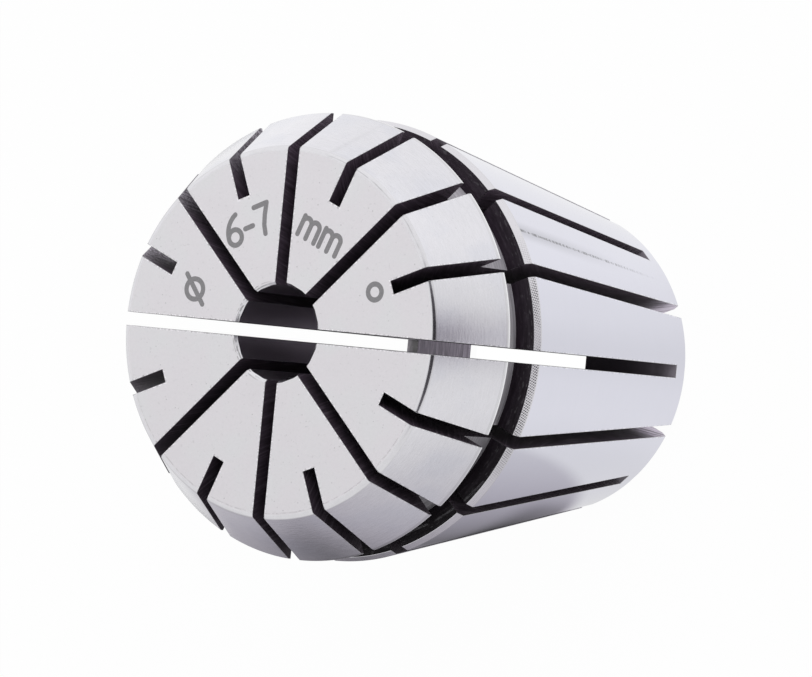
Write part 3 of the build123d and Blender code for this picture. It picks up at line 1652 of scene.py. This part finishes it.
@dataclass(frozen=True)
class MirroredTent:
    """What the bright steel mirrors: a white tent, bright on one side and shaded on the other.

    The tent has a round opening for the lens, and the lens's stand is dark under it. Levels are shares
    of white, angles are in degrees and places on the floor are in millimetres.
    """

    LEAST_LEVEL = 1e-4  # keeps a division from nothing, in a direction straight up
    LEAST_REACH = 1e-3  # the same at the middle of the floor

    bright_side: float = 120.0
    bright: Fade = Fade(-0.3, 0.95, 0.14)  # how the walls brighten towards that side
    tint: Colour = grey(1.0, 0.05, 0.11)  # of the dim parts
    tinted: Fade = Fade(0.8, 0.25)

    shaded_side: float = -108.0
    shade: float = 0.86  # how much darker that side is at its middle
    shade_falls: float = 0.86  # how quickly that passes to either side
    shade_end: Fade = Fade(0.5, 0.72)  # where it ends on the far side
    low_shade: Fade = Fade(0.35, 0.0, 0.55)  # how it shows above the floor

    opening: tuple[float, float] = (0.0, 57.5)
    opening_reach: float = 26.0
    opening_soft: float = 3.0
    opening_dark: float = 0.9

    stand_side: float = 5.0
    stand_post: Fade = Fade(0.3, 0.0)
    stand_edge: Fade = Fade(0.6, 0.3, 0.16)
    stand_front: Fade = Fade(0.15, 0.45)
    stand_in_air: tuple[float, Fade] = (0.4, Fade(0.0, 0.12, 0.19))  # how dark, and how that grows upwards
    stand_on_floor: tuple[float, Fade] = (0.07, Fade(40.0, 150.0, 0.24))  # the same with distance

    shade_border_side: float = -101.0  # the middle of the border where the painted shade on the floor starts beside the collet's foot
    shade_border: Fade = Fade(10.9, 12.9)
    close_shade: Fade = Fade(20.0, 16.0, 0.17)  # painted shade round the collet's foot
    close_side: Fade = Fade(0.4, 0.15)
    ring: Fade = Fade(18.0, 21.0, 0.04)  # a lighter ring beyond it
    ring_end: Fade = Fade(40.0, 28.0)
    far_light: tuple[Fade, ...] = (Fade(65.0, 165.0, 0.31), Fade(150.0, 250.0, 0.1))  # away along -Y
    back_light: Fade = Fade(36.0, 64.0, 0.4)  # away along -X
    floor_dims: tuple[Fade, ...] = (Fade(0.35, 0.75, 0.1), Fade(0.7, 1.0, 0.08), Fade(0.7, 0.95, 0.08))

    def walls(self, x: Link, y: Link) -> Link:
        """The level of the white walls, from the level part of a direction."""
        side = heading(self.bright_side, 0)
        return 1 - self.bright.amount + self.bright.of(x * side.x + y * side.y)

    def shaded(self, x: Link, y: Link) -> Link:
        """How much darker the shaded side is.

        Args:
            x: The first part of a level direction of length 1.
            y: Its second part.

        Returns:
            The share of the light that is missing.
        """
        middle = heading(self.shaded_side, 0)
        beyond = heading(self.shaded_side - 90, 0)
        towards = (x * middle.x + y * middle.y).smaller(1.0)
        shade = (self.shade - self.shade_falls * (1 - towards) ** 0.5).larger(0.0)
        return shade * (1 - self.shade_end.of(x * beyond.x + y * beyond.y))

    def stand(self, x: Link, y: Link) -> Link:
        """How far a direction meets the stand.

        Args:
            x: The first part of the direction.
            y: Its second part.

        Returns:
            The share, which is over 1 at the post.
        """
        front = heading(self.stand_side, 0)
        aside = abs(x * front.y - y * front.x)
        dark = self.stand_post.of(aside) + self.stand_edge.of(aside)
        return dark * self.stand_front.of(x * front.x + y * front.y)

    def in_direction(self, tree: ShaderTree, direction: Link) -> Link:
        """The tent's level in a direction from the collet.

        Args:
            tree: The world's tree.
            direction: The direction, of length 1.

        Returns:
            The level, where 1 is white.
        """
        x, y, z = tree.parts(direction)
        level = (x * x + y * y) ** 0.5 + self.LEAST_LEVEL
        lens = heading(*self.opening)
        soft = (self.opening_soft, -self.opening_soft)
        edges = [math.cos(math.radians(self.opening_reach + width)) for width in soft]
        opening = self.opening_dark * (x * lens.x + y * lens.y + z * lens.z).ramp(*edges)
        shade = self.shaded(x / level, y / level) * self.low_shade.of(z)
        base, rise = self.stand_in_air
        stand = self.stand(x, y) * (base + rise.of(z))
        return self.walls(x, y) * (1 - shade) * (1 - stand) * (1 - opening)

    def on_floor(self, x: Link, y: Link) -> Link:
        """The level of a place on the floor, with the shade and light painted into the paper's glow for the
        steel to mirror.

        Args:
            x: Its first coordinate, in millimetres.
            y: Its second coordinate.

        Returns:
            The level, where 1 is white.
        """
        reach = (x * x + y * y) ** 0.5 + self.LEAST_REACH
        level_x, level_y = x / reach, y / reach
        side = heading(self.shade_border_side, 0)
        close = self.close_shade.of(reach) * self.close_side.of(level_x)
        first, second = (light.of(0 - y) for light in self.far_light)
        light = (first + second).larger(self.back_light.of(0 - x))
        light = light.larger(self.ring.of(reach) * self.ring_end.of(reach))
        shade = self.shaded(level_x, level_y) * (1 - light) + close
        shade = shade * self.shade_border.of(x * side.x + y * side.y)
        base, rise = self.stand_on_floor
        stand = self.stand(level_x, level_y) * (base + rise.of(reach))
        front, back, left = self.floor_dims
        dim = front.of(0 - level_y) + back.of(level_y) + left.of(0 - level_x)
        return self.walls(level_x, level_y) * (1 - shade) * (1 - stand) * (1 - dim)

    def coloured(self, tree: ShaderTree, level: Link) -> Link:
        """The colour of a level, tinted where it is dim."""
        return tree.scaled(tree.mix(self.tinted.of(level), grey(1.0), self.tint), level)


@dataclass
class Studio:
    """A pale paper floor under one large soft lamp and an even room."""

    tent: MirroredTent = field(default_factory=MirroredTent)
    floor_radius: float = 4.0
    floor_corners: int = 96
    floor_drop: float = 0.02 * MM
    paper: Colour = grey(0.88)
    tooth: Rise = Rise(0.98, 0.04)  # how light its fibres are
    tooth_density: float = 0.4  # fibres for each millimetre
    shown_white: float = 0.97  # the share of the floor that the camera sees as plain white
    mirrored_white: float = 0.95  # the same for what the steel mirrors
    lit_hollow: tuple[float, float] = (7.5, 7.4)  # where the paper glows under the hollow, painted light that lights it from inside, in millimetres
    lamp_azimuth: float = 62.0
    lamp_elevation: float = 40.0
    lamp_distance: float = 1.1
    lamp_size: float = 0.9
    lamp_power: float = 6.0
    room: float = 0.58  # the room's level on the object
    aim: Vector = field(default_factory=lambda: Vector((0.0, 0.0, 15 * MM)))

    def build(self) -> bpy.types.Object:
        """Makes the floor, the lamp and the room.

        Returns:
            The floor.
        """
        floor = self._floor()
        self._lamp()
        self._room()
        return floor

    @staticmethod
    def _rays(tree: ShaderTree) -> tuple[Link, Link]:
        """What kind of ray meets a surface.

        Args:
            tree: The tree of the material or world.

        Returns:
            Whether it comes straight from the camera or through glass, and whether it is mirrored.
        """
        names = ("Is Camera Ray", "Is Transmission Ray", "Is Glossy Ray")
        camera, through, glossy = (tree.add("ShaderNodeLightPath", output=name) for name in names)
        return camera.larger(through), glossy

    def _floor(self) -> bpy.types.Object:
        """A round sheet of paper, just under the rear end, whose glow carries painted shade and light for
        the steel to mirror.

        Returns:
            The floor.
        """
        count = self.floor_corners
        ring = [heading(360 * i / count, 0) * self.floor_radius for i in range(count)]
        mesh = bpy.data.meshes.new("paper_floor")
        mesh.from_pydata([(p.x, p.y, -self.floor_drop) for p in ring], [], [tuple(range(count))])
        floor = bpy.data.objects.new("paper_floor", mesh)
        bpy.context.scene.collection.objects.link(floor)
        material = bpy.data.materials.new("white_paper")
        material.cycles.emission_sampling = "NONE"
        tree = ShaderTree(material)
        x, y, _ = tree.parts(tree.scaled(tree.add("ShaderNodeTexCoord", output="Object"), 1 / MM))
        seen, glossy = self._rays(tree)
        # painted light: the paper under the hollow glows for every ray
        under = (x * x + y * y).ramp(*(radius**2 for radius in self.lit_hollow))
        fibres = tree.noise(tree.vector(x * self.tooth_density, y * self.tooth_density, 0.0), detail=3.0)
        paper = tree.scaled(self.paper, self.tooth.of(fibres))
        matt = tree.add("ShaderNodeBsdfDiffuse", None, {"Color": paper})
        mirrored = self.tent.coloured(tree, self.tent.on_floor(x, y))
        colour = tree.mix(seen, mirrored, grey(1.0))
        glow = tree.add("ShaderNodeEmission", None, {"Color": colour, "Strength": 1.0})
        share = (seen * self.shown_white + glossy * self.mirrored_white).larger(under)
        tree.finish(tree.add("ShaderNodeMixShader", None, {0: share, 1: matt, 2: glow}))
        mesh.materials.append(material)
        return floor

    def _lamp(self) -> None:
        """One large softbox, behind the tent's wall."""
        data = bpy.data.lights.new("softbox", "AREA")
        data.shape = "SQUARE"
        data.size = self.lamp_size
        data.energy = self.lamp_power
        lamp = bpy.data.objects.new("softbox", data)
        lamp.visible_glossy = False
        away = heading(self.lamp_azimuth, self.lamp_elevation)
        lamp.location = self.aim + away * self.lamp_distance
        lamp.rotation_euler = away.to_track_quat("Z", "Y").to_euler()
        bpy.context.scene.collection.objects.link(lamp)

    def _room(self) -> None:
        """An even room, white where it is seen and dimmer as a light."""
        world = bpy.data.worlds.new("room")
        bpy.context.scene.world = world
        world.cycles.sampling_method = "NONE"
        tree = ShaderTree(world)
        seen, glossy = self._rays(tree)
        direction = tree.add("ShaderNodeTexCoord", output="Generated")
        mirrored = self.tent.coloured(tree, self.tent.in_direction(tree, direction))
        colour = tree.mix(seen, tree.mix(glossy, grey(self.room), mirrored), grey(1.0))
        background = tree.add("ShaderNodeBackground", None, {"Color": colour, "Strength": 1.0})
        tree.finish(background, "ShaderNodeOutputWorld")


@dataclass(frozen=True)
class StudioCamera:
    """The camera, close over the face and rolled on its side."""

    azimuth: float = -0.251
    elevation: float = 57.467
    roll: float = -84.244
    distance: float = 307.243 * MM
    target: tuple[float, float, float] = (0.002 * MM, 0.507 * MM, 22.479 * MM)
    lens: float = 178.93
    sensor: float = 36.0
    nearest: float = 0.01  # what it shows starts here
    farthest: float = 20.0

    def build(self) -> bpy.types.Object:
        """Makes the camera and makes it the scene's own.

        Returns:
            The camera.
        """
        data = bpy.data.cameras.new("studio_camera")
        data.lens = self.lens
        data.sensor_width = self.sensor
        data.sensor_fit = "HORIZONTAL"
        data.clip_start = self.nearest
        data.clip_end = self.farthest
        back = heading(self.azimuth, self.elevation)
        level = heading(self.azimuth + 90, 0)
        rise = back.cross(level)
        roll = math.radians(self.roll)
        right = level * math.cos(roll) + rise * math.sin(roll)
        up = rise * math.cos(roll) - level * math.sin(roll)
        camera = bpy.data.objects.new("studio_camera", data)
        axes = Matrix((right, up, back)).transposed().to_4x4()
        camera.matrix_world = Matrix.Translation(Vector(self.target) + back * self.distance) @ axes
        bpy.context.scene.collection.objects.link(camera)
        bpy.context.scene.camera = camera
        return camera


# ---------------------------------------------------------------------------------------
# Assembly
# ---------------------------------------------------------------------------------------


def main() -> None:
    """Builds the collet, its marks and the studio, in that order."""
    logging.basicConfig(level=logging.INFO, format="%(name)s: %(message)s")

    collet = ColletBody()
    body = collet.build()
    collet.dress(body)
    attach(body, "root")
    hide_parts("collet")
    log.info("%s: %d faces", body.name, len(body.data.polygons))

    face_marks = FaceMarks(collet.sizes)
    marks = face_marks.build()
    face_marks.dress(marks)
    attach(marks, "root")
    log.info("%s: %d faces", marks.name, len(marks.data.polygons))

    floor = Studio().build()
    StudioCamera().build()
    bpy.context.scene.view_settings.view_transform = "Standard"
    log.info("floor, lamp, room and camera are in place")


if __name__ == "__main__":
    main()
